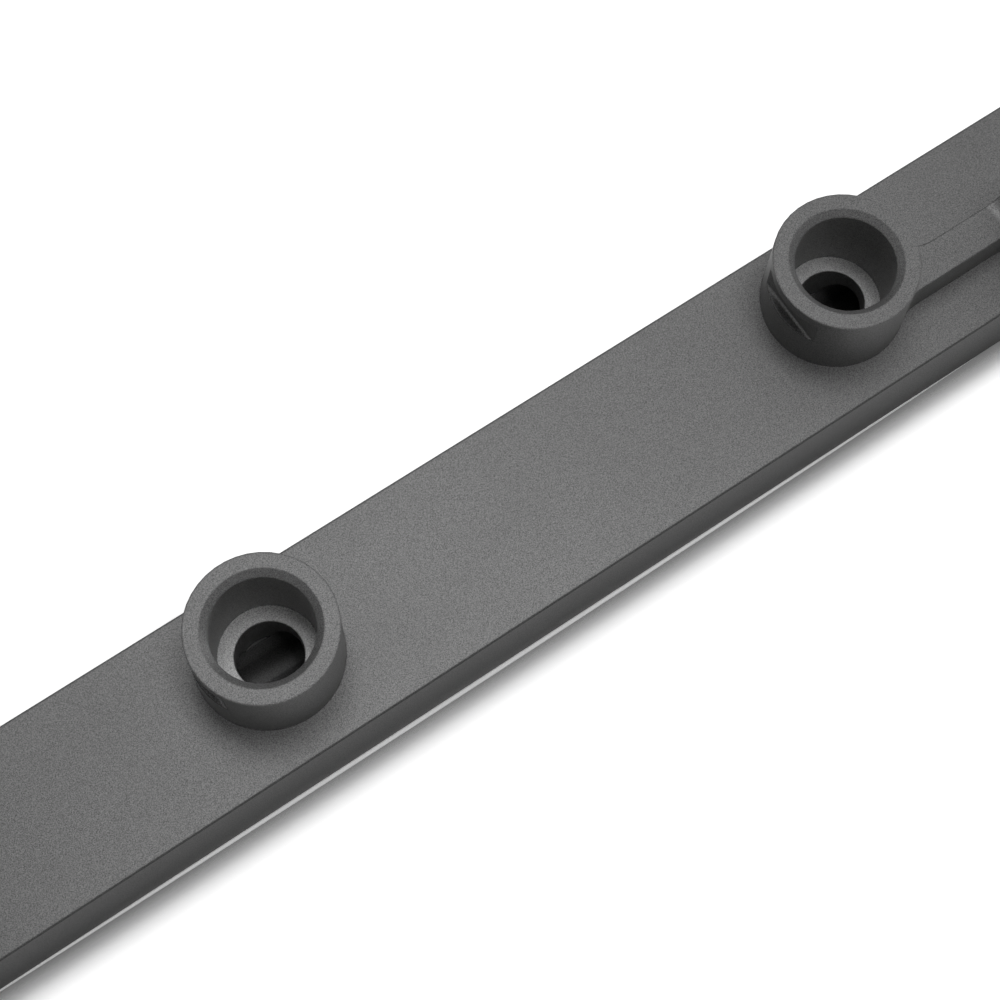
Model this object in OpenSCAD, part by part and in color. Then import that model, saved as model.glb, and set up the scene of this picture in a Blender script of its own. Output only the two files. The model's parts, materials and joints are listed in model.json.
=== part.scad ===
// Milled fuel rail for four top-feed injectors, with a screw plug at one end and an inlet at the other.
// X runs along the rail and Z points out of the injector cups. The back face lies on Z = 0,
// and the plane Y = 0 holds the axes of the cups and of the fuel gallery.

/* [Bar] */
// Width of the bar across Y
bar_width = 25.4; // [24:0.1:32]
// Thickness of the bar behind the cups
bar_thickness = 14; // [14:0.5:20]
// Distance from the cup axes to the side of the bar that carries the screw bosses
near_side = 14.5; // [13:0.1:16]
// Distance from the outer cup axes to the ends of the bar
end_margin = 27; // [24:1:60]
// Bevel along the edges of the bar
edge_bevel = 0.2; // [0.1:0.05:0.8]
// Chamfer on the upright corners at the ends of the bar
end_chamfer = 1.5; // [0.5:0.5:4]

/* [Injector cups] */
// Number of injector cups
cup_count = 4; // [2:2:6]
// Distance from one cup axis to the next
cup_spacing = 90; // [80:0.5:115]
// Outer diameter of a cup
cup_od = 19.6; // [18:0.1:21]
// Height of a cup above the face of the bar
cup_height = 12.5; // [12:0.5:18]
// Bore that the injector's sealing ring slides in
seat_d = 13.5; // [12:0.1:14.5]
// Depth of that bore below the rim
seat_depth = 12.8; // [11:0.1:14]
// Diameter of the lead-in chamfer at the rim
lead_in_d = 15.4; // [15:0.1:17]
// Hole that feeds the cup from the gallery
feed_d = 9; // [8.2:0.1:10]
// Bevel round the rim and round the mouth of the feed hole
rim_bevel = 0.1; // [0.05:0.05:0.5]

/* [Clip slots] */
// Thickness of the lip that is left above a slot
lip_height = 1.6; // [1:0.1:3]
// Height of the slot that the injector clip slides into
slot_height = 4.5; // [2:0.1:5]
// Depth of the slot from the outside of the cup
slot_depth = 1.45; // [0.8:0.05:1.8]
// Corner radius that the cutter leaves in the slot
slot_corner_r = 0.4; // [0.1:0.1:0.8]

/* [Ribs and screw bosses] */
// Width of the rib between a cup and its boss
rib_width = 4.9; // [3:0.1:7]
// Height of the rib above the face of the bar
rib_height = 5.4; // [3:0.1:6]
// Distance from the cup axis to the far wall of the rib
rib_setback = 1.9; // [0.5:0.1:3]
// Distance from the cup axis to the step up to the boss
step_offset = 26.8; // [22:0.1:28]
// Radius at the foot of that step
step_r = 3; // [0.5:0.1:4]
// Radius of the cutter that runs round the cups, ribs and bosses
cutter_r = 5; // [2:0.5:6]
// Distance from the cup axis to the boss axis along the bar
boss_offset = 35; // [33:0.5:42]
// Distance from the cup axes to the boss axes across the bar
boss_setback = 9; // [8.8:0.1:10]
// Diameter of a boss
boss_d = 15; // [14.4:0.2:18]
// Height of a boss above the face of the bar
boss_height = 12.5; // [8:0.5:30]
// Clearance hole for the screw that holds the rail
screw_hole_d = 6.6; // [5.5:0.1:7]
// Chamfer at both mouths of the screw hole
screw_chamfer = 0.5; // [0.2:0.1:1]

/* [Gallery and ports] */
// Diameter of the fuel gallery
gallery_d = 8; // [6:0.1:8.5]
// Nominal thread diameter of the ports
port_d = 10; // [9.5:0.1:10.5]
// Depth of the threaded ports
port_depth = 12; // [10:0.5:16]
// Chamfer at the mouths of the ports
port_chamfer = 0.6; // [0.2:0.1:1]
// Radial clearance between a threaded shank and its port
thread_clearance = 0.05; // [0.02:0.01:0.1]

/* [Sealing washers] */
// Outer diameter of a washer
washer_od = 13.6; // [13:0.1:14]
// Thickness of a washer
washer_t = 1; // [0.8:0.1:2]
// Radial clearance between a washer and the shank through it
washer_clearance = 0.15; // [0.05:0.05:0.2]

/* [Screw plug] */
// Diameter of the plug's collar
collar_d = 14; // [13.6:0.1:14]
// Height of the plug's collar
collar_h = 3; // [2:0.5:6]
// Length of the plug's threaded shank
plug_shank = 8; // [5:0.5:9]
// Width across flats of the plug's key socket
key_af = 5; // [3:0.5:6]
// Depth of the key socket
key_depth = 5; // [2:0.5:7]

/* [Inlet fitting] */
// Width across flats of the hexagon
hex_af = 14; // [12:0.5:14]
// Length of the hexagon
hex_h = 8; // [5:0.5:12]
// Length of the inlet's threaded shank
inlet_shank = 9; // [5:0.5:9.5]
// Diameter of the push-on hose spigot
spigot_d = 7.89; // [7:0.01:9.5]
// Length of the spigot beyond the hexagon
spigot_length = 28; // [24:0.5:40]
// Distance from the spigot's tip to the bead that the connector latches behind
bead_offset = 19.6; // [15:0.1:22]
// Diameter of the bead
bead_d = 9.95; // [9.6:0.05:12]
// Width of the bead
bead_w = 1.8; // [1:0.1:3]
// Bore through the fitting
inlet_bore_d = 6; // [4:0.1:6.2]
// Bevel on the edges of the turned pieces
turned_bevel = 0.6; // [0.2:0.1:0.8]

/* [Hidden] */

$fn = 96;
hexagon_sides = 6;
half_turn = 180;
quarter_turn = 90;
overlap = 1;
blend_bite = 0.01;
bead_flank_share = 0.25;

bar_length = (cup_count - 1) * cup_spacing + 2 * end_margin;
far_side = bar_width - near_side;
face_z = bar_thickness;
gallery_z = bar_thickness / 2;
rim_z = face_z + cup_height;
ledge_z = rim_z - seat_depth;
lead_in_depth = (lead_in_d - seat_d) / 2;
slot_z = rim_z - lip_height - slot_height;
rib_near_y = -rib_setback - rib_width;
rib_middle_y = -rib_setback - rib_width / 2;
shank_d = port_d - 2 * thread_clearance;
washer_id = shank_d + 2 * washer_clearance;
bar_end_x = bar_length / 2;
seat_x = bar_end_x + washer_t;

body_grey = [0.36, 0.37, 0.38];
fitting_grey = [0.25, 0.26, 0.27];
copper = [0.72, 0.45, 0.3];

function cup_x(i) = (i - (cup_count - 1) / 2) * cup_spacing;

// Distance between the axes of a round post and of the cutter that runs round it.
// The cutter bites blend_bite into the post, so that the two outlines cross and don't only touch.
function blend_reach(post_r) = post_r + cutter_r - blend_bite;

// Turns a shape so that its Z axis runs along +X
module along_x() {
    rotate([0, quarter_turn, 0]) children();
}

// Outline of the material that the cutter leaves in the corner between a round post at the origin
// and a wall at wall_y. The wall's open side is up for side = 1 and down for side = -1,
// and the wall leaves the post along +X for run = 1 and along -X for run = -1.
// A wall that runs clear of the post has no such corner.
module corner_outline(post_r, wall_y, inside_y, side, run) {
    centre_y = wall_y + side * cutter_r;
    if (abs(centre_y) < blend_reach(post_r)) {
        centre_x = run * sqrt(pow(blend_reach(post_r), 2) - pow(centre_y, 2));
        difference() {
            polygon([[0, 0], [centre_x, centre_y], [centre_x, inside_y]]);
            translate([centre_x, centre_y]) circle(r = cutter_r);
        }
    }
}

// Outline of a rib, its boss and their blends, seen from above with the cup axis at the origin
module rib_outline() {
    translate([0, rib_near_y]) square([boss_offset, rib_width]);
    corner_outline(cup_od / 2, -rib_setback, rib_middle_y, 1, 1);
    corner_outline(cup_od / 2, rib_near_y, rib_middle_y, -1, 1);
    translate([boss_offset, -boss_setback]) {
        circle(d = boss_d);
        corner_outline(boss_d / 2, boss_setback - rib_setback, boss_setback + rib_middle_y, 1, -1);
        corner_outline(boss_d / 2, boss_setback + rib_near_y, boss_setback + rib_middle_y, -1, -1);
    }
}

// Space above the rib, from the cup axis to the step, with the cutter's radius at the step's foot
module rib_relief() {
    height = boss_height + overlap;
    translate([0, -near_side - overlap, 0]) {
        cube([step_offset - step_r, bar_width + 2 * overlap, height]);
        translate([0, 0, step_r]) cube([step_offset, bar_width + 2 * overlap, height - step_r]);
        translate([step_offset - step_r, 0, step_r])
            rotate([-quarter_turn, 0, 0]) cylinder(r = step_r, h = bar_width + 2 * overlap);
    }
}

module rib_and_boss() {
    difference() {
        translate([0, 0, face_z - overlap]) linear_extrude(boss_height + overlap)
            intersection() {
                rib_outline();
                translate([0, -near_side]) square([boss_offset + boss_d, bar_width]);
            }
        translate([0, 0, face_z + rib_height]) rib_relief();
    }
}

// Bar with bevelled long edges and chamfered end corners
module bar() {
    side_y = [-near_side, far_side];
    intersection() {
        translate([-bar_end_x, 0, 0]) rotate([quarter_turn, 0, quarter_turn]) linear_extrude(bar_length)
            polygon([
                [side_y[0] + edge_bevel, 0], [side_y[1] - edge_bevel, 0],
                [side_y[1], edge_bevel], [side_y[1], bar_thickness - edge_bevel],
                [side_y[1] - edge_bevel, bar_thickness], [side_y[0] + edge_bevel, bar_thickness],
                [side_y[0], bar_thickness - edge_bevel], [side_y[0], edge_bevel]
            ]);
        linear_extrude(bar_thickness)
            polygon([
                [-bar_end_x + end_chamfer, side_y[0]], [bar_end_x - end_chamfer, side_y[0]],
                [bar_end_x, side_y[0] + end_chamfer], [bar_end_x, side_y[1] - end_chamfer],
                [bar_end_x - end_chamfer, side_y[1]], [-bar_end_x + end_chamfer, side_y[1]],
                [-bar_end_x, side_y[1] - end_chamfer], [-bar_end_x, side_y[0] + end_chamfer]
            ]);
    }
}

// Straight cut across the side of a cup, with rounded inner corners, for one leg of the clip
module clip_slot() {
    back_x = cup_od / 2 - slot_depth;
    cut_length = cup_od + 2 * overlap;
    cut_depth = slot_depth + overlap;
    translate([back_x, -cut_length / 2, slot_z]) {
        translate([slot_corner_r, 0, 0]) cube([cut_depth - slot_corner_r, cut_length, slot_height]);
        translate([0, 0, slot_corner_r]) cube([cut_depth, cut_length, slot_height - 2 * slot_corner_r]);
        for (z = [slot_corner_r, slot_height - slot_corner_r])
            translate([slot_corner_r, 0, z])
                rotate([-quarter_turn, 0, 0]) cylinder(r = slot_corner_r, h = cut_length);
    }
}

module cup() {
    cup_r = cup_od / 2;
    difference() {
        rotate_extrude()
            polygon([
                [0, face_z - overlap], [cup_r, face_z - overlap], [cup_r, rim_z - rim_bevel],
                [cup_r - rim_bevel, rim_z], [0, rim_z]
            ]);
        for (turn = [0, half_turn]) rotate([0, 0, turn]) clip_slot();
    }
}

// Lead-in, injector seat, ledge and feed hole down to the middle of the gallery
module cup_bore() {
    rotate_extrude()
        polygon([
            [0, gallery_z], [feed_d / 2, gallery_z], [feed_d / 2, ledge_z - rim_bevel],
            [feed_d / 2 + rim_bevel, ledge_z], [seat_d / 2, ledge_z],
            [seat_d / 2, rim_z - lead_in_depth], [lead_in_d / 2, rim_z],
            [lead_in_d / 2, rim_z + overlap], [0, rim_z + overlap]
        ]);
}

module screw_hole() {
    hole_r = screw_hole_d / 2;
    top_z = face_z + boss_height;
    rotate_extrude()
        polygon([
            [0, -overlap], [hole_r + screw_chamfer, -overlap], [hole_r + screw_chamfer, 0],
            [hole_r, screw_chamfer], [hole_r, top_z - screw_chamfer],
            [hole_r + screw_chamfer, top_z], [hole_r + screw_chamfer, top_z + overlap],
            [0, top_z + overlap]
        ]);
}

// Threaded port seen from its mouth, which faces +Z
module port() {
    port_r = port_d / 2;
    rotate_extrude()
        polygon([
            [0, -port_depth], [port_r, -port_depth], [port_r, -port_chamfer],
            [port_r + port_chamfer, 0], [port_r + port_chamfer, overlap], [0, overlap]
        ]);
}

module rail_body() {
    color(body_grey) difference() {
        union() {
            bar();
            for (i = [0 : cup_count - 1]) translate([cup_x(i), 0, 0]) cup();
            for (i = [0 : 2 : cup_count - 1]) translate([cup_x(i), 0, 0]) rib_and_boss();
        }
        for (i = [0 : cup_count - 1]) translate([cup_x(i), 0, 0]) cup_bore();
        for (i = [0 : 2 : cup_count - 1])
            translate([cup_x(i) + boss_offset, -boss_setback, 0]) screw_hole();
        translate([-bar_end_x, 0, gallery_z]) along_x() cylinder(d = gallery_d, h = bar_length);
        for (turn = [0, half_turn])
            rotate([0, 0, turn]) translate([bar_end_x, 0, gallery_z]) along_x() port();
    }
}

// Ring whose lower face lies on Z = 0
module washer() {
    color(copper) difference() {
        cylinder(d = washer_od, h = washer_t);
        translate([0, 0, -overlap]) cylinder(d = washer_id, h = washer_t + 2 * overlap);
    }
}

// Points of a threaded shank that hangs below Z = 0 and stands washer_t off its port
function shank_points(length) = [
    [0, -length - washer_t], [shank_d / 2 - turned_bevel, -length - washer_t],
    [shank_d / 2, turned_bevel - length - washer_t], [shank_d / 2, 0]
];

module plug_solid() {
    collar_r = collar_d / 2;
    difference() {
        rotate_extrude()
            polygon(concat(shank_points(plug_shank), [
                [collar_r, 0], [collar_r, collar_h - turned_bevel],
                [collar_r - turned_bevel, collar_h], [0, collar_h]
            ]));
        translate([0, 0, collar_h - key_depth])
            cylinder(d = key_af / cos(half_turn / hexagon_sides), h = key_depth + overlap, $fn = hexagon_sides);
    }
}

module hexagon() {
    corner_d = hex_af / cos(half_turn / hexagon_sides);
    corner_drop = (corner_d - hex_af) / 2;
    intersection() {
        rotate([0, 0, quarter_turn]) cylinder(d = corner_d, h = hex_h, $fn = hexagon_sides);
        rotate_extrude()
            polygon([
                [0, 0], [corner_d / 2 + overlap, 0], [corner_d / 2 + overlap, hex_h - corner_drop],
                [corner_d / 2, hex_h - corner_drop], [hex_af / 2, hex_h], [0, hex_h]
            ]);
    }
}

// Spigot with its latching bead, standing on Z = 0
module spigot() {
    spigot_r = spigot_d / 2;
    bead_z = spigot_length - bead_offset;
    bead_foot_z = bead_z - bead_w;
    flank = bead_w * bead_flank_share;
    rotate_extrude()
        polygon([
            [0, 0], [spigot_r, 0], [spigot_r, bead_foot_z], [bead_d / 2, bead_foot_z + flank],
            [bead_d / 2, bead_z - flank], [spigot_r, bead_z],
            [spigot_r, spigot_length - 2 * turned_bevel], [spigot_r - turned_bevel, spigot_length],
            [0, spigot_length]
        ]);
}

module inlet_solid() {
    difference() {
        union() {
            rotate_extrude() polygon(concat(shank_points(inlet_shank), [[0, 0]]));
            hexagon();
            translate([0, 0, hex_h]) spigot();
        }
        translate([0, 0, -inlet_shank - washer_t - overlap])
            cylinder(d = inlet_bore_d, h = inlet_shank + washer_t + hex_h + spigot_length + 2 * overlap);
    }
}

// Places a piece whose axis is Z on the port at the +X end
module at_inlet_end(x) {
    translate([x, 0, gallery_z]) along_x() children();
}

// Places a piece whose axis is Z on the port at the -X end
module at_plug_end(x) {
    rotate([0, 0, half_turn]) at_inlet_end(x) children();
}

module plug_washer() { at_plug_end(bar_end_x) washer(); }
module inlet_washer() { at_inlet_end(bar_end_x) washer(); }
module screw_plug() { color(fitting_grey) at_plug_end(seat_x) plug_solid(); }
module inlet_fitting() { color(fitting_grey) at_inlet_end(seat_x) inlet_solid(); }

rail_body();
plug_washer();
screw_plug();
inlet_washer();
inlet_fitting();
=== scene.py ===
"""Fuel rail: finishes, light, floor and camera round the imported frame.

Everything is in metres in the row's frame: X along the rail, Z out of the injector cups.
"""
import json
import math

import bpy
from mathutils import Matrix, Vector


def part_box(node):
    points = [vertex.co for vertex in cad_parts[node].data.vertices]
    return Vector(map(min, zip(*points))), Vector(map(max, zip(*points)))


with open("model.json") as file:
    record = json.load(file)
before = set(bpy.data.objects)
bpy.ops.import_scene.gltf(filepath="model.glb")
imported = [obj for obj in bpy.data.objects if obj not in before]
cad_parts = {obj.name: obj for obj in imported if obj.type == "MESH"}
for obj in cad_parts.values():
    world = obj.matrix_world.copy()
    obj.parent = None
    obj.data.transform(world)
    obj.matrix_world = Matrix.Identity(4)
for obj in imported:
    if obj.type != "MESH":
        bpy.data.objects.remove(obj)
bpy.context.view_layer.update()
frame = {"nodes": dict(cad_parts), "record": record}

MM = 0.001
rail_low, rail_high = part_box("rail_body")


# Shader helpers

class Shader:
    """The node tree of a material or of the world, with short calls to add and join nodes."""

    def __init__(self, owner, output="ShaderNodeOutputMaterial"):
        self.owner = owner
        owner.use_nodes = True
        self.tree = owner.node_tree
        self.tree.nodes.clear()
        self.out = self.add(output)

    def add(self, kind, inputs=None, **settings):
        """Adds a node, with a value or another node's socket for each input that is named."""
        made = self.tree.nodes.new(kind)
        for key, value in settings.items():
            setattr(made, key, value)
        for key, value in (inputs or {}).items():
            self.fill(made, key, value)
        return made

    def fill(self, made, key, value):
        if isinstance(value, bpy.types.NodeSocket):
            self.tree.links.new(value, made.inputs[key])
        else:
            made.inputs[key].default_value = value

    def place(self):
        """Position on the object, which for every CAD node is its place in the row's frame."""
        return self.add("ShaderNodeTexCoord").outputs["Object"]

    def normal(self):
        return self.add("ShaderNodeNewGeometry").outputs["Normal"]

    def split(self, vector):
        """A vector's X, Y and Z."""
        return self.add("ShaderNodeSeparateXYZ", {"Vector": vector}).outputs

    def noise(self, vector, scale, detail, roughness):
        made = self.add("ShaderNodeTexNoise", {
            "Vector": vector, "Scale": scale, "Detail": detail, "Roughness": roughness})
        return made.outputs["Fac"]

    def ranged(self, value, low, high, to_low, to_high, ease="LINEAR"):
        """Moves a value from one range to another, and holds it at the ends."""
        made = self.add("ShaderNodeMapRange", {
            "Value": value, "From Min": low, "From Max": high, "To Min": to_low, "To Max": to_high},
            interpolation_type=ease)
        return made.outputs["Result"]

    def math(self, operation, *values):
        made = self.add("ShaderNodeMath", dict(enumerate(values)), operation=operation)
        return made.outputs[0]

    def plus(self, first, second):
        return self.math("ADD", first, second)

    def minus(self, first, second):
        return self.math("SUBTRACT", first, second)

    def times(self, first, second):
        return self.math("MULTIPLY", first, second)

    def near(self, value, centre, half):
        """1 where a value lies within half of the centre, else 0."""
        return self.math("COMPARE", value, centre, half)

    def vector_math(self, operation, *vectors):
        """A vector operation whose result is one number."""
        made = self.add("ShaderNodeVectorMath", dict(enumerate(vectors)), operation=operation)
        return made.outputs["Value"]

    def tone(self, level):
        """The grey of a level that changes over the surface."""
        made = self.add("ShaderNodeCombineColor", {"Red": level, "Green": level, "Blue": level})
        return made.outputs["Color"]

    def between(self, factor, colour_a, colour_b):
        made = self.add("ShaderNodeMix", data_type="RGBA")
        self.fill(made, 0, factor)
        self.fill(made, 6, colour_a)
        self.fill(made, 7, colour_b)
        return made.outputs[2]

    def bump(self, height, distance, strength, normal=None):
        inputs = {"Height": height, "Distance": distance, "Strength": strength}
        if normal is not None:
            inputs["Normal"] = normal
        return self.add("ShaderNodeBump", inputs).outputs["Normal"]

    def finish(self, shader):
        """Joins the shader to the output, and returns the material or world."""
        self.tree.links.new(shader, self.out.inputs["Surface"])
        return self.owner


def grey(level):
    return (level, level, level, 1.0)


# Finish of the rail

NOISE_SPAN = (0.3, 0.7)         # most of a noise's values lie between these

GRAIN_NOISE = (6500.0, 2.0, 0.6)    # dimples of the bead blasting: scale per metre, detail, roughness
GRAIN_TILT = (0.5, 0.3, 0.7)    # so that no face lies flat in the noise's own planes
GRAIN_SWING = 0.5               # how far they swing between the two greys, to each side of the middle
GRAIN_DEPTH, GRAIN_STRENGTH = 0.015 * MM, 1.0
CLOUD_NOISE = (55.0, 3.0, 0.55)     # slow changes of the anodised layer
CLOUD_SWING = 0.05
GREYS = (0.07, 0.22)            # the darkest and the lightest dimple
METAL_SHARE = 0.3
RAIL_ROUGHNESS = (0.38, 0.46)
GRAZING_TINT = 0.4              # the dimples shade each other where the surface is seen aslant

EDGE_RADIUS = 0.32 * MM         # how far the blasting has rounded the edges
EDGE_SAMPLES = 4
EDGE_BEND = 0.75                # cosine of the bend at which an edge is at its darkest
EDGE_SHADE = (0.02, 0.8)         # painted shade: the brightness there, on the bar and ribs and on the cups' rims
RIM_ZONE = (0.6 * MM, 0.3 * MM)     # depth below the rims' top over which it goes from one to the other

# Sizes of the rail, as in its source, that tell its surfaces apart
SEAT_DEPTH = 12.8 * MM          # from the cups' rims down to their ledges
CUP_HEIGHT = 12.5 * MM          # from the cups' rims down to the bar's face
EDGE_BEVEL = 0.2 * MM           # height of the bevel round the bar's face
CHANNEL_REACH = 4.6 * MM        # feed holes and gallery lie within this of the cups' axes, across the bar

SEAT_SHINE_AND_LIGHT = 2.3                 # the ledges were cut after blasting and are brighter; partly that finish, partly painted light in the deep cups
BORE_SHINE_AND_LIGHT = 2.0                 # so do the bores above them, partly by their finish and partly as painted light
BORE_SLACK = 0.01 * MM
LEDGE_SLACK = 0.02 * MM
CHANNEL_LIGHT_AND_SHADE = (1.5, 0.3)       # painted light on the walls and painted shade on the floors of the feed holes and the gallery
CHANNEL_FACING = (0.1, 0.7)     # the normal's Z on such a wall and on such a floor
CHANNEL_SLACK = 0.1 * MM
CHANNEL_END = 1.0 * MM          # this painted light and shade stops short of the bar's ends, at the gallery's mouths
BEVEL_SHADE = 0.5                # painted shade: the bevel round the bar's face is darkened into a thin dark line
BEVEL_SHARE = 0.48              # of its height to each side of its middle, just short of both its edges


def inside_cups(s, at):
    """1 within the radius of a cup's bore round its axis, else 0."""
    cups = [mount for mount in frame["record"]["mounts"] if mount["name"].startswith("injector_cup")]
    places = [cup["pos_m"][0] for cup in cups]
    pitch = (max(places) - min(places)) / (len(places) - 1)
    radius = cups[0]["dims"]["r_mm"] * MM
    along = s.math("PINGPONG", s.plus(at["X"], pitch - min(places)), pitch / 2)
    flat = s.add("ShaderNodeCombineXYZ", {"X": along, "Y": at["Y"]}).outputs["Vector"]
    return s.math("LESS_THAN", s.vector_math("LENGTH", flat), radius + BORE_SLACK)


def inside_channels(s, at, ledge_z):
    """1 within the block of the bar that holds the feed holes and the gallery, else 0."""
    deep = s.near(at["Z"], ledge_z / 2, ledge_z / 2 - CHANNEL_SLACK)
    midway = s.near(at["Y"], 0.0, CHANNEL_REACH)
    along = s.near(at["X"], 0.0, rail_high[0] - CHANNEL_END)
    return s.times(s.times(deep, midway), along)


def cut_finish_and_painted_light(s, place):
    """Brightness of the surface against the blasted faces, told by where it lies in the rail: cut finish
    and painted light on ledges and bores, painted light and shade in the holes, painted shade on the
    bevel.
    """
    at = s.split(place)
    ledge_z = rail_high[2] - SEAT_DEPTH
    inside = inside_cups(s, at)
    # ledges and bores lighter: partly their cut finish, partly painted light
    above = s.math("GREATER_THAN", at["Z"], ledge_z - LEDGE_SLACK)
    beyond = s.math("GREATER_THAN", at["Z"], ledge_z + LEDGE_SLACK)
    seat_shine_and_light = s.minus(s.times(above, SEAT_SHINE_AND_LIGHT - 1.0), s.times(beyond, SEAT_SHINE_AND_LIGHT - BORE_SHINE_AND_LIGHT))
    gain = s.plus(s.times(inside, seat_shine_and_light), 1.0)

    upwards = s.split(s.normal())["Z"]
    # painted light on the walls of the feed holes and gallery, painted shade on their floors
    dark = s.ranged(upwards, *CHANNEL_FACING, *CHANNEL_LIGHT_AND_SHADE)
    gain = s.plus(gain, s.times(inside_channels(s, at, ledge_z), s.minus(dark, 1.0)))

    # painted shade: the bevel round the bar's face, outside the cups, darkened to a thin line
    bevel_z = rail_high[2] - CUP_HEIGHT - EDGE_BEVEL / 2
    bevel = s.near(at["Z"], bevel_z, BEVEL_SHARE * EDGE_BEVEL)
    bevel = s.times(bevel, s.minus(1.0, inside))
    return s.times(gain, s.ranged(bevel, 0.0, 1.0, 1.0, BEVEL_SHADE))


def painted_edge_shade(s, place, rounded):
    """Painted shade: less than 1 at the rounded edges, which are darkened."""
    bend = s.vector_math("DOT_PRODUCT", rounded, s.normal())
    height = s.split(place)["Z"]
    rim_z = rail_high[2]
    deepest_edge_shade = s.ranged(height, rim_z - RIM_ZONE[0], rim_z - RIM_ZONE[1], *EDGE_SHADE)
    return s.ranged(bend, EDGE_BEND, 1.0, deepest_edge_shade, 1.0)


def blasted_anodised():
    """Bead-blasted aluminium with a dark grey anodised layer, with painted light and shade in the cups,
    holes and bevel and along the edges.
    """
    s = Shader(bpy.data.materials.new("rail_anodised"))
    place = s.place()
    tilted = s.add("ShaderNodeMapping", {"Vector": place, "Rotation": GRAIN_TILT})
    grain = s.noise(tilted.outputs["Vector"], *GRAIN_NOISE)
    cloud = s.noise(place, *CLOUD_NOISE)
    bevel = s.add("ShaderNodeBevel", {"Radius": EDGE_RADIUS}, samples=EDGE_SAMPLES)
    rounded = bevel.outputs["Normal"]
    speck = s.ranged(grain, *NOISE_SPAN, -GRAIN_SWING, GRAIN_SWING)
    drift = s.ranged(cloud, *NOISE_SPAN, 0.5 - CLOUD_SWING, 0.5 + CLOUD_SWING)
    level = s.ranged(s.plus(speck, drift), 0.0, 1.0, *GREYS)
    # painted light and shade in the cups, holes and bevel (partly a cut finish), then painted shade at
    # the edges
    level = s.times(level, cut_finish_and_painted_light(s, place))
    level = s.times(level, painted_edge_shade(s, place, rounded))
    made = s.add("ShaderNodeBsdfPrincipled", {
        "Base Color": s.tone(level),
        "Metallic": METAL_SHARE,
        "Roughness": s.ranged(cloud, *NOISE_SPAN, *RAIL_ROUGHNESS),
        "Specular Tint": grey(GRAZING_TINT),
        "Normal": s.bump(grain, GRAIN_DEPTH, GRAIN_STRENGTH, rounded)})
    return s.finish(made.outputs["BSDF"])


# Finishes of the plug, the inlet and the washers

LATHE_RINGS = {"Scale": 1100.0, "Distortion": 0.6, "Detail": 2.0, "Detail Scale": 2.0}
RING_DEPTH, RING_STRENGTH = 0.006 * MM, 0.6
SMEAR_NOISE = (300.0, 3.0, 0.6)
FITTING_GREYS = (0.056, 0.092)
FITTING_ROUGHNESS = (0.3, 0.42)

TARNISH_NOISE = (420.0, 4.0, 0.6)
TARNISH_SPAN = (0.35, 0.65)     # narrower than the noise's own, so that the patches have clear edges
TARNISHED, BRIGHT = (0.62, 0.29, 0.17, 1.0), (0.83, 0.45, 0.3, 1.0)
WASHER_ROUGHNESS = (0.45, 0.28)     # tarnished, and bright
SCRATCH_NOISE = (2600.0, 2.0, 0.5)
SCRATCH_DEPTH, SCRATCH_STRENGTH = 0.01 * MM, 0.5


def turned_anodised():
    """Turned aluminium with a near-black satin anodised layer and fine lathe rings round X."""
    s = Shader(bpy.data.materials.new("fitting_anodised"))
    place = s.place()
    rings = s.add("ShaderNodeTexWave", {"Vector": place, **LATHE_RINGS},
                  wave_type="BANDS", bands_direction="X")
    smear = s.noise(place, *SMEAR_NOISE)
    dark, light = (grey(level) for level in FITTING_GREYS)
    made = s.add("ShaderNodeBsdfPrincipled", {
        "Base Color": s.between(smear, dark, light),
        "Metallic": 1.0,
        "Roughness": s.ranged(smear, *NOISE_SPAN, *FITTING_ROUGHNESS),
        "Normal": s.bump(rings.outputs["Fac"], RING_DEPTH, RING_STRENGTH)})
    return s.finish(made.outputs["BSDF"])


def soft_copper():
    """Annealed copper washer with a little tarnish."""
    s = Shader(bpy.data.materials.new("washer_copper"))
    place = s.place()
    tarnish = s.noise(place, *TARNISH_NOISE)
    scratch = s.noise(place, *SCRATCH_NOISE)
    clean = s.ranged(tarnish, *TARNISH_SPAN, 0.0, 1.0)
    made = s.add("ShaderNodeBsdfPrincipled", {
        "Base Color": s.between(clean, TARNISHED, BRIGHT),
        "Metallic": 1.0,
        "Roughness": s.ranged(tarnish, *NOISE_SPAN, *WASHER_ROUGHNESS),
        "Normal": s.bump(scratch, SCRATCH_DEPTH, SCRATCH_STRENGTH)})
    return s.finish(made.outputs["BSDF"])


def dress_nodes():
    """Gives every CAD node the finish that the record's material slot names."""
    finishes = {"rail_anodised": blasted_anodised(), "fitting_anodised": turned_anodised(),
                "washer_copper": soft_copper()}
    for entry in frame["record"]["subparts"]:
        slots = frame["nodes"][entry["node"]].data.materials
        slots.clear()
        slots.append(finishes[entry["material_slot"]])


# Floor and world

FLOOR_Z = -0.02 * MM            # just below the rail, so that the two don't lie in one plane
FLOOR_HALF = 3.0
GREY_FLOOR = 0.35               # the paper's level as light on the rail
WHITE_FLOOR = 2.4               # and as seen, which the lamps bring to white
SHADOW_REACH = (0.24, 0.42)     # distances from the origin between which its shade runs out
CONTACT_REACH = (20.0 * MM, 5.0 * MM)   # how far the rail darkens the paper, in reflections and as seen
CONTACT_OPEN = (0.62, 1.0)      # share of open sky at the rail's side and where the darkening ends
CONTACT_DARK = 0.26
SKY_SAMPLES = 8
LINE_WIDTH = 0.57 * MM          # the painted pale line between the rail's foot and its shadow, at its widest
LINE_MIDDLE = -25.0 * MM        # where along X it is widest
LINE_HALF = 88.0 * MM           # how far from there it ends
# painted light: brightness of the pale line on the paper
LINE_LIGHT = 0.8
AMBIENT = 0.05                  # strength of the room as a light


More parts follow.
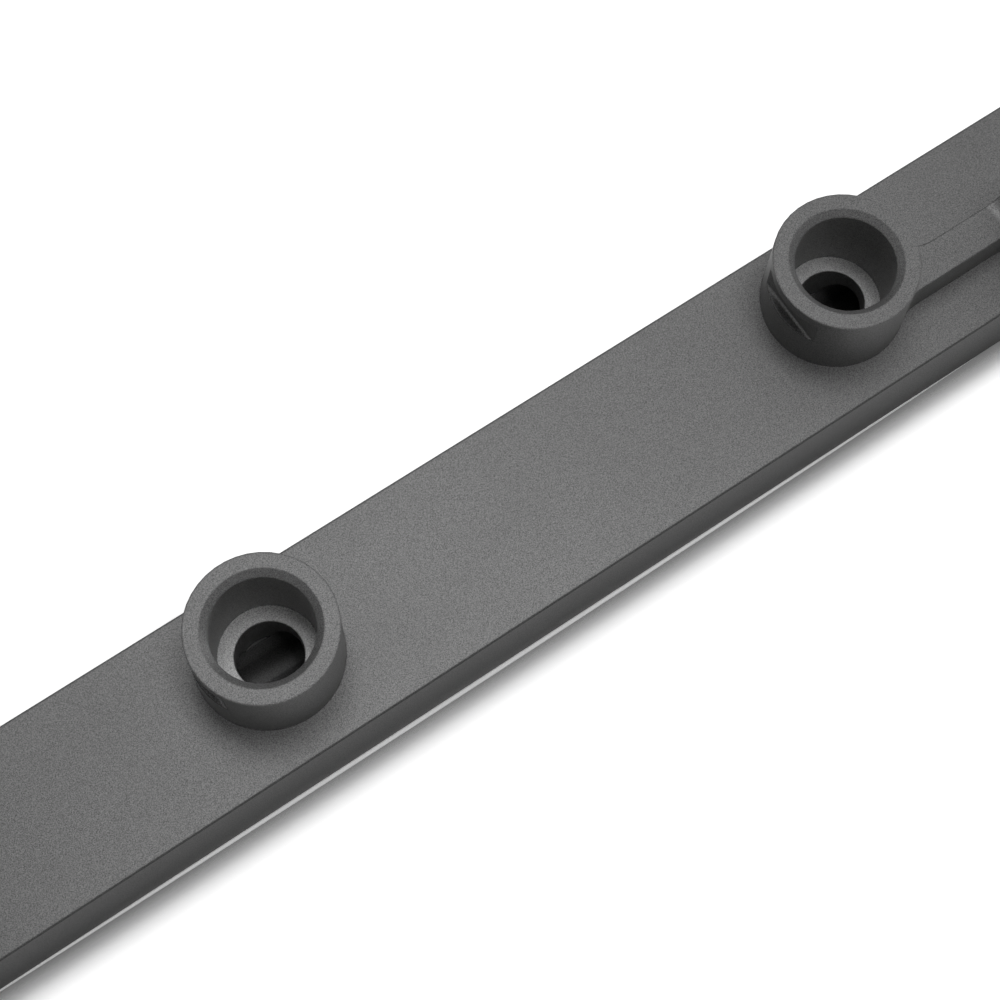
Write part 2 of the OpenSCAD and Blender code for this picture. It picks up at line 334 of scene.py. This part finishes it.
def seen_directly(s):
    """1 for what the camera, a reflection or clear glass sees, else 0."""
    path = s.add("ShaderNodeLightPath").outputs
    seen = s.math("MAXIMUM", path["Is Camera Ray"], path["Is Glossy Ray"])
    return s.math("MAXIMUM", seen, path["Is Transmission Ray"])


def contact_shade(s):
    """Painted shadow: less than 1 on the paper close to the rail."""
    camera_ray = s.add("ShaderNodeLightPath").outputs["Is Camera Ray"]
    reach = s.ranged(camera_ray, 0.0, 1.0, *CONTACT_REACH)
    sky = s.add("ShaderNodeAmbientOcclusion", {"Distance": reach}, samples=SKY_SAMPLES)
    return s.ranged(sky.outputs["AO"], *CONTACT_OPEN, CONTACT_DARK, 1.0, "SMOOTHSTEP")


def painted_foot_light(s):
    """Painted light: a sliver of pale paper along the foot of the rail's near side at the line's
    brightness, else 0.
    """
    at = s.split(s.place())
    share = s.math("DIVIDE", s.minus(at["X"], LINE_MIDDLE), LINE_HALF)
    taper = s.minus(1.0, s.times(share, share))
    half = s.times(taper, LINE_WIDTH / 2)
    gap = s.minus(rail_low[1], at["Y"])
    return s.times(s.near(gap, half, half), LINE_LIGHT)


def floor_finish():
    """Paper that keeps the rail's shadow near it, with painted shadow and a painted pale line there, and
    runs out to plain white.
    """
    s = Shader(bpy.data.materials.new("floor_paper"))
    seen = seen_directly(s)
    level = s.ranged(seen, 0.0, 1.0, GREY_FLOOR, WHITE_FLOOR)
    # painted shadow near the rail, lifted by the painted pale line along its foot
    level = s.times(level, s.math("MAXIMUM", contact_shade(s), painted_foot_light(s)))
    paper = s.add("ShaderNodeBsdfDiffuse", {"Color": s.tone(level)})
    white = s.add("ShaderNodeEmission", {"Color": grey(1.0), "Strength": 1.0})
    away = s.vector_math("LENGTH", s.place())
    plain = s.times(s.ranged(away, *SHADOW_REACH, 0.0, 1.0), seen)
    mixed = s.add("ShaderNodeMixShader", {
        0: plain, 1: paper.outputs["BSDF"], 2: white.outputs["Emission"]})
    return s.finish(mixed.outputs["Shader"])


def make_floor():
    half = FLOOR_HALF
    mesh = bpy.data.meshes.new("floor")
    corners = [(-half, -half, 0), (half, -half, 0), (half, half, 0), (-half, half, 0)]
    mesh.from_pydata(corners, [], [(0, 1, 2, 3)])
    mesh.materials.append(floor_finish())
    floor = bpy.data.objects.new("floor", mesh)
    floor.location.z = FLOOR_Z
    bpy.context.scene.collection.objects.link(floor)


def make_world():
    """An even pale room: white where it is seen, and faint as a light."""
    s = Shader(bpy.data.worlds.new("room"), "ShaderNodeOutputWorld")
    strength = s.ranged(seen_directly(s), 0.0, 1.0, AMBIENT, 1.0)
    light = s.add("ShaderNodeBackground", {"Color": grey(1.0), "Strength": strength})
    bpy.context.scene.world = s.finish(light.outputs["Background"])


# Lamps

TOP_PLACE, TOP_SIZE, TOP_POWER = (0.14, 0.03, 1.0), (0.8, 0.3), 4.6     # long, overhead
END_PLACE, END_SIZE, END_POWER = (1.1, 0.1, 0.3), (0.3, 0.3), 2.5       # weak, at the inlet end


def softbox(name, place, size, power):
    """An area lamp that points at the origin."""
    data = bpy.data.lights.new(name, "AREA")
    data.shape = "RECTANGLE"
    data.size, data.size_y = size
    data.energy = power
    lamp = bpy.data.objects.new(name, data)
    lamp.location = place
    lamp.rotation_euler = (-Vector(place)).to_track_quat("-Z", "Y").to_euler()
    bpy.context.scene.collection.objects.link(lamp)


# Camera

FOCAL = 2.1907                  # focal length in picture widths
SENSOR_WIDTH = 36.0             # in millimetres, as Blender counts it
AZIMUTH, ELEVATION, ROLL = (math.radians(angle) for angle in (36.8234, 69.1591, 3.0931))
EYE = Vector((-66.04, -74.657, 285.489)) * MM
SHIFT_UP = -0.06                # the photograph is a crop of a larger picture
NEAREST, FARTHEST = 0.01, 20.0


def make_camera():
    """The camera fitted to the photograph, with AZIMUTH from +Y towards +X and ELEVATION downwards."""
    data = bpy.data.cameras.new("camera")
    data.sensor_fit = "HORIZONTAL"
    data.sensor_width = SENSOR_WIDTH
    data.lens = FOCAL * SENSOR_WIDTH
    data.shift_y = SHIFT_UP
    data.clip_start, data.clip_end = NEAREST, FARTHEST
    forward = Vector((math.sin(AZIMUTH) * math.cos(ELEVATION),
                      math.cos(AZIMUTH) * math.cos(ELEVATION), -math.sin(ELEVATION)))
    level = forward.cross(Vector((0, 0, 1))).normalized()
    rise = level.cross(forward)
    right = math.cos(ROLL) * level + math.sin(ROLL) * rise
    up = -math.sin(ROLL) * level + math.cos(ROLL) * rise
    turn = Matrix((right, up, -forward)).transposed()
    camera = bpy.data.objects.new("camera", data)
    camera.matrix_world = Matrix.Translation(EYE) @ turn.to_4x4()
    bpy.context.scene.collection.objects.link(camera)
    bpy.context.scene.camera = camera


dress_nodes()
make_floor()
make_world()
softbox("softbox_top", TOP_PLACE, TOP_SIZE, TOP_POWER)
softbox("softbox_end", END_PLACE, END_SIZE, END_POWER)
make_camera()
bpy.context.scene.view_settings.view_transform = "Standard"
